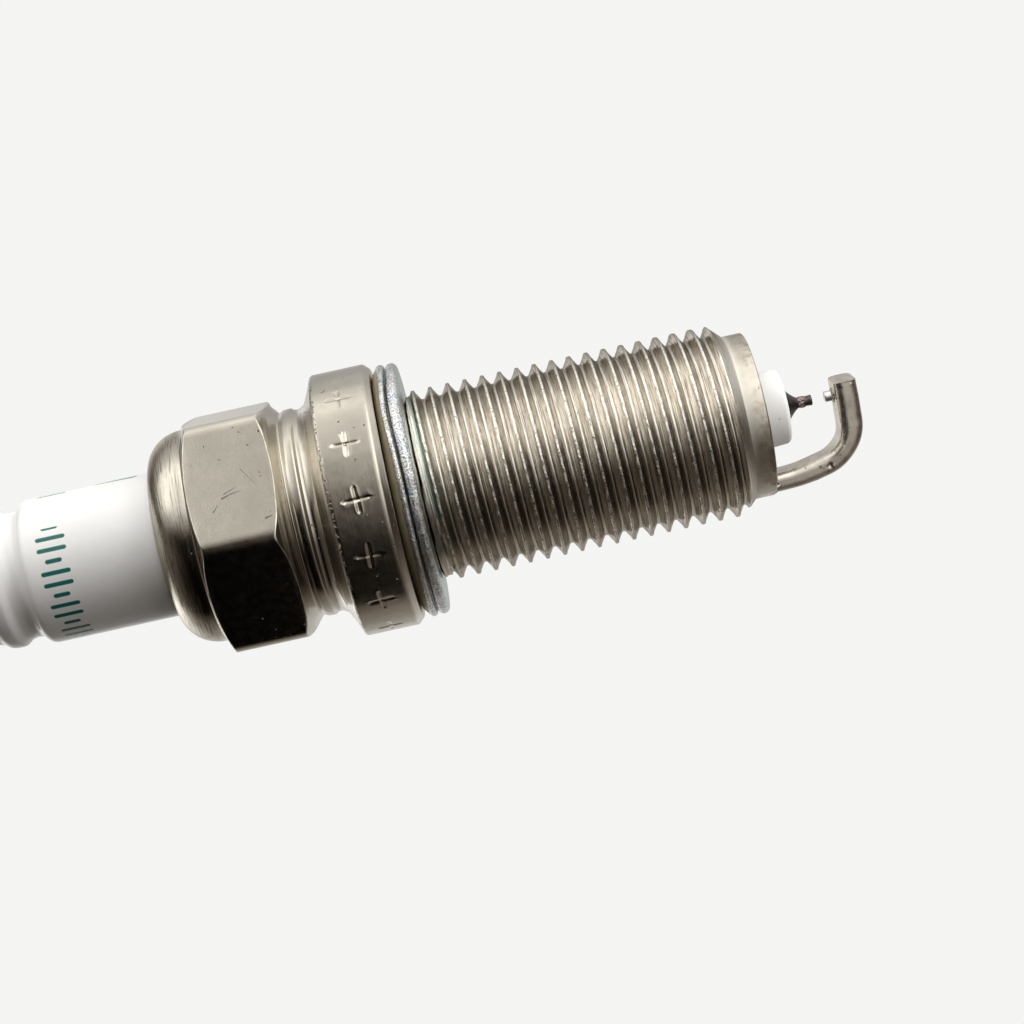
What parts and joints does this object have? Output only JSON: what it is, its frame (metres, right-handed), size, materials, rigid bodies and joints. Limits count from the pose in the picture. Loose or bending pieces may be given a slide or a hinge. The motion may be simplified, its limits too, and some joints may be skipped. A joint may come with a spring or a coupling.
{
  "type": "spark plug",
  "caption": "Long-reach M14 spark plug with a hexagon shell, crush gasket, ribbed white insulator, fine-wire iridium tip, bent ground electrode and removable terminal nut.",
  "frame": {"origin": "on the plug's axis, in the plane where the crush gasket meets the cylinder head", "axes": "+Z along the plug's axis towards the terminal, firing end down; +X and -X square to two of the hexagon's flats, with the ground electrode on the -X side"},
  "size_m": [0.0188, 0.0188, 0.0817],
  "materials": {
    "nickel_plate": "nickel-plated steel, turned and rolled, with fine lines and scuffs",
    "zinc_plate": "zinc-plated sheet with a faint green and violet passivation tint",
    "glazed_alumina": "glossy white glaze on the head, matt white alumina on the nose",
    "nickel_alloy": "drawn nickel alloy, satin",
    "weld_metal": "fused metal bead, slightly heat-tinted",
    "platinum": "bright satin",
    "iridium": "dark satin metal",
    "copper": "bare copper",
    "seal_glass": "fused conductive glass",
    "resistor_carbon": "black carbon and glass composition",
    "packing_steel": "plain steel",
    "talc": "rammed talc powder"
  },
  "bodies": {
    "plug": {"metal_shell": "nickel_plate", "insulator": "glazed_alumina", "ground_electrode": "nickel_alloy", "strap_weld": "weld_metal", "ground_pip": "platinum", "pip_weld": "weld_metal", "centre_electrode": "nickel_alloy", "electrode_copper_core": "copper", "iridium_tip": "iridium", "tip_weld": "weld_metal", "lower_glass_seal": "seal_glass", "resistor": "resistor_carbon", "upper_glass_seal": "seal_glass", "terminal_stud": "nickel_plate", "seat_washer": "packing_steel", "lower_packing_ring": "packing_steel", "upper_packing_ring": "packing_steel", "talc_filling": "talc"},
    "gasket": {"crush_gasket": "zinc_plate"},
    "nut": {"terminal_nut": "nickel_plate"}
  },
  "joints": [
    {"name": "gasket_spin", "type": "hinge", "parent": "plug", "child": "gasket", "pos_m": [0, 0, 0.0009], "axis": [0, 0, 1], "continuous": true},
    {"name": "terminal_nut_unscrew", "type": "slide", "parent": "plug", "child": "nut", "axis": [0, 0, 1], "range_m": [0, 0.0066]}
  ]
}
